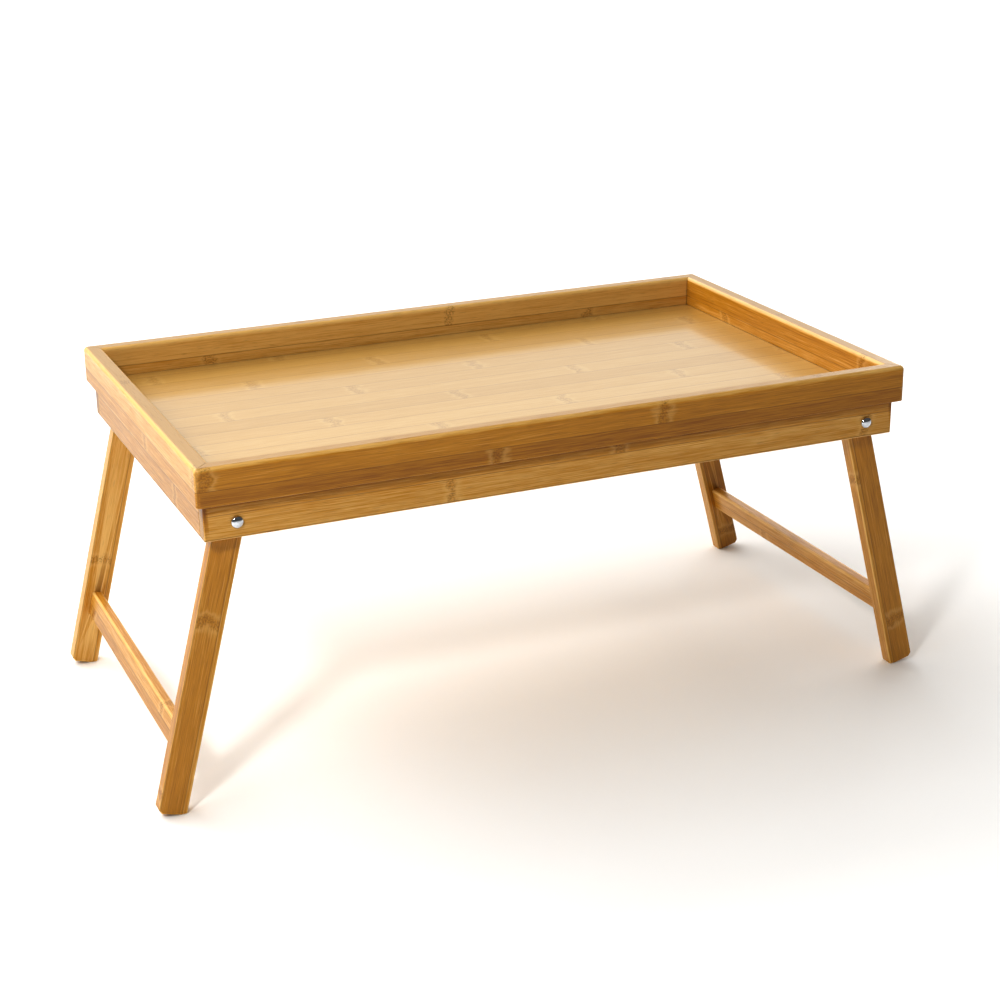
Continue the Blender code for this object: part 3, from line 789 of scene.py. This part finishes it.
# The washers and nuts: a plain washer on each side of the leg, and a hexagon nut with its corners
# turned off, all zinc plated.
WASHER_RADIUS = 6.0 * MM
WASHER_EASE = 0.15 * MM
WASHER_MOUTH = 0.1 * MM
NUT_FLAT = 3.5 * MM
NUT_BORE = 2.3 * MM
NUT_MOUTH = 0.3 * MM
CONE = np.radians(30)  # of the turned corners, off the nut's flat face
CONE_FROM = 0.95  # where they meet that face, as a share of NUT_FLAT
# Bright zinc over plain steel: greyer than chrome, with a blurred sheen and slight clouding.
zinc = metal("bright zinc plate", "#C3C7CC", "#9DA2A9", 0.30, MM / 5, MM / 0.9)


def nut_grid(height):
    """A hexagon with its corners turned off. Seen from above each flat spans 60 degrees less a
    rounding at its corners; at each height the radius is the lesser of the hexagon's,
    flat / cos(angle from the flat's middle), and a 30 degree cone's."""
    from_middle = np.radians(np.linspace(-29.2, 29.2, 13))
    middle = np.repeat(np.arange(6) * np.pi / 3, 13)
    angle = middle + np.tile(from_middle, 6)
    hexagon = NUT_FLAT / np.cos(angle - middle)
    level = np.array([0.0, 0.05, 0.1, 0.15, 0.2, 0.25, 0.75, 0.8, 0.85, 0.9, 0.95, 1.0])[:, None] * height
    depth = np.minimum(level, height - level)
    cone = NUT_FLAT * CONE_FROM + depth / np.tan(CONE)
    radius = np.minimum(hexagon, cone)
    on_cone = (cone < hexagon)[..., None]
    way = np.stack([np.cos(angle), np.sin(angle)], -1)
    flat_way = np.stack([np.cos(middle), np.sin(middle)], -1)
    facing = np.where(on_cone, way * np.sin(CONE), flat_way)
    lean = np.where(on_cone[..., 0], np.sign(level - height / 2) * np.cos(CONE), 0.0)
    w = np.broadcast_to(level, radius.shape)
    grid = np.stack([radius * way[:, 0], radius * way[:, 1], w], -1)
    return np.concatenate([grid, facing, lean[..., None], np.zeros_like(w)[..., None]], -1)


def washer_grid(height):
    """A disc: a circle drawn out along w, its edges eased."""
    angle = np.arange(64) / 64 * 2 * np.pi
    way = np.stack([np.cos(angle), np.sin(angle)], -1)
    return carry((way * WASHER_RADIUS, way, np.zeros(64)), 0, height, (WASHER_EASE, WASHER_EASE))


for end, end_sign in (("left", -1), ("right", 1)):
    for side, side_sign in (("front", -1), ("back", 1)):
        for part, label, shape, bore, mouth in (
            ("spacer_washer", "outer_washer", washer_grid, HOLE_RADIUS, WASHER_MOUTH),
            ("inner_washer", "back_washer", washer_grid, HOLE_RADIUS, WASHER_MOUTH),
            ("pivot_nut", "nut", nut_grid, NUT_BORE, NUT_MOUTH),
        ):
            low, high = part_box(f"{side}_{end}_{part}")
            thick = high.y - low.y
            hole = bored(0, 0, bore, 0, thick, (mouth, mouth))
            outer = low.y if side_sign < 0 else high.y
            piece = solid(
                f"{side}_{end}_{label}", [(shape(thick), ("low", "high")), (hole, ("low", "high"))],
                [(1, 0, 0), (0, 0, 1), (0, -side_sign, 0)], (end_sign * bolt_x, outer, bolt_z),
            )
            piece.data.materials.append(zinc)
            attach(piece, "tray")
            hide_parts(f"{side}_{end}_{part}")


# The slips in the mitres and the dowels in the aprons: bare bamboo, hidden once glued. They keep
# their own solids and get an unfinished surface, dry and fibrous, with no gloss.
bare = bpy.data.materials.new("bare sawn bamboo")
bare.use_nodes = True
tree = bare.node_tree
shader = tree.nodes["Principled BSDF"]
place = node(tree, "ShaderNodeTexCoord").outputs["Object"]
stretched = node(tree, "ShaderNodeMapping", {"Vector": place, "Scale": (900.0, 900.0, 60.0)}).outputs[0]
fuzz = node(tree, "ShaderNodeTexNoise", {"Vector": stretched, "Scale": 1.0, "Detail": 4.0}).outputs["Fac"]
ramp = node(tree, "ShaderNodeValToRGB", (fuzz,))
stops = ramp.color_ramp.elements
stops[0].position, stops[0].color = 0.3, linear("#B99257")
stops[1].position, stops[1].color = 0.7, linear("#E3C793")
tree.links.new(ramp.outputs["Color"], shader.inputs["Base Color"])
bump = node(tree, "ShaderNodeBump", {"Height": fuzz, "Strength": 0.5, "Distance": 0.1 * MM})
tree.links.new(bump.outputs["Normal"], shader.inputs["Normal"])
shader.inputs["Roughness"].default_value = 0.75
for name, obj in frame["nodes"].items():
    if name.endswith(("_spline", "_dowel")):
        obj.data.materials.clear()
        obj.data.materials.append(bare)


# The studio: a pale matt floor under five lights. Overhead and right fill, a small one at the
# front left brightens the faces turned to it, the back one gives the panel its sheen, and one
# over the far floor whitens the background.
FLOOR_HALF = 20.0
floor_paint = bpy.data.materials.new("matt white floor")
floor_paint.use_nodes = True
tree = floor_paint.node_tree
shader = tree.nodes["Principled BSDF"]
place = node(tree, "ShaderNodeTexCoord").outputs["Object"]
cloud = node(tree, "ShaderNodeTexNoise", {"Vector": place, "Scale": 3.0}).outputs["Fac"]
ramp = node(tree, "ShaderNodeValToRGB", (cloud,))
ramp.color_ramp.elements[0].color = linear("#F4F3F1")
ramp.color_ramp.elements[1].color = linear("#F7F7F5")
tree.links.new(ramp.outputs["Color"], shader.inputs["Base Color"])
shader.inputs["Roughness"].default_value = 0.8
shader.inputs["Specular IOR Level"].default_value = 0.1

floor_mesh = bpy.data.meshes.new("floor")
floor_mesh.from_pydata(
    [(x * FLOOR_HALF, y * FLOOR_HALF, 0) for x, y in ((-1, -1), (1, -1), (1, 1), (-1, 1))],
    [], [(0, 1, 2, 3)],
)
floor_mesh.materials.append(floor_paint)
floor = bpy.data.objects.new("floor", floor_mesh)
bpy.context.collection.objects.link(floor)

middle = Vector((0, 0, (cad_box[0].z + cad_box[1].z) / 2))
for name, place, size, power, aim in (
    ("overhead", (-1.4, 0.7, 2.1), (3.2, 3.0), 80, middle),
    ("back", (0.2, 2.8, 1.2), (4.8, 1.8), 25, middle),
    ("front left", (-0.75, -0.80, 0.90), (0.14, 0.14), 7.0, middle),
    ("right", (2.0, 0.9, 0.5), (1.8, 0.9), 24, middle),
    ("far floor", (1.0, 4.8, 3.4), (10.0, 4.5), 340, Vector((1.0, 4.8, 0.0))),
):
    light = bpy.data.lights.new(name, "AREA")
    light.shape = "RECTANGLE"
    light.size, light.size_y = size
    light.energy = power
    softbox = bpy.data.objects.new(name, light)
    softbox.location = place
    softbox.rotation_euler = (aim - Vector(place)).to_track_quat("-Z", "Y").to_euler()
    bpy.context.collection.objects.link(softbox)

world = bpy.data.worlds.new("studio")
world.use_nodes = True
world.node_tree.nodes["Background"].inputs["Color"].default_value = (1, 1, 1, 1)
world.node_tree.nodes["Background"].inputs["Strength"].default_value = 0.13
bpy.context.scene.world = world
bpy.context.scene.view_settings.view_transform = "Standard"
bpy.context.scene.view_settings.gamma = 0.8

# The camera stands 1.4 m off, to the left of the front, and looks down at 20 degrees with a
# 71 mm lens, turned a little off level.
CAMERA_AZIMUTH = np.radians(-23.389)
CAMERA_ELEVATION = np.radians(20.163)
CAMERA_ROLL = np.radians(-0.736)
CAMERA_DISTANCE = 1.3837
CAMERA_LENS = 70.91
AIM = Vector((-0.0044, -0.0359, 0.1394))
back = Vector((
    np.sin(CAMERA_AZIMUTH) * np.cos(CAMERA_ELEVATION),
    -np.cos(CAMERA_AZIMUTH) * np.cos(CAMERA_ELEVATION),
    np.sin(CAMERA_ELEVATION),
))
camera_data = bpy.data.cameras.new("camera")
camera_data.lens = CAMERA_LENS
camera_data.sensor_width = 36
camera = bpy.data.objects.new("camera", camera_data)
right = Vector((0, 0, 1)).cross(back).normalized()
turn = Matrix((right, back.cross(right), back)).transposed().to_4x4()
place = Matrix.Translation(AIM + CAMERA_DISTANCE * back)
camera.matrix_world = place @ turn @ Matrix.Rotation(CAMERA_ROLL, 4, "Z")
bpy.context.collection.objects.link(camera)
bpy.context.scene.camera = camera
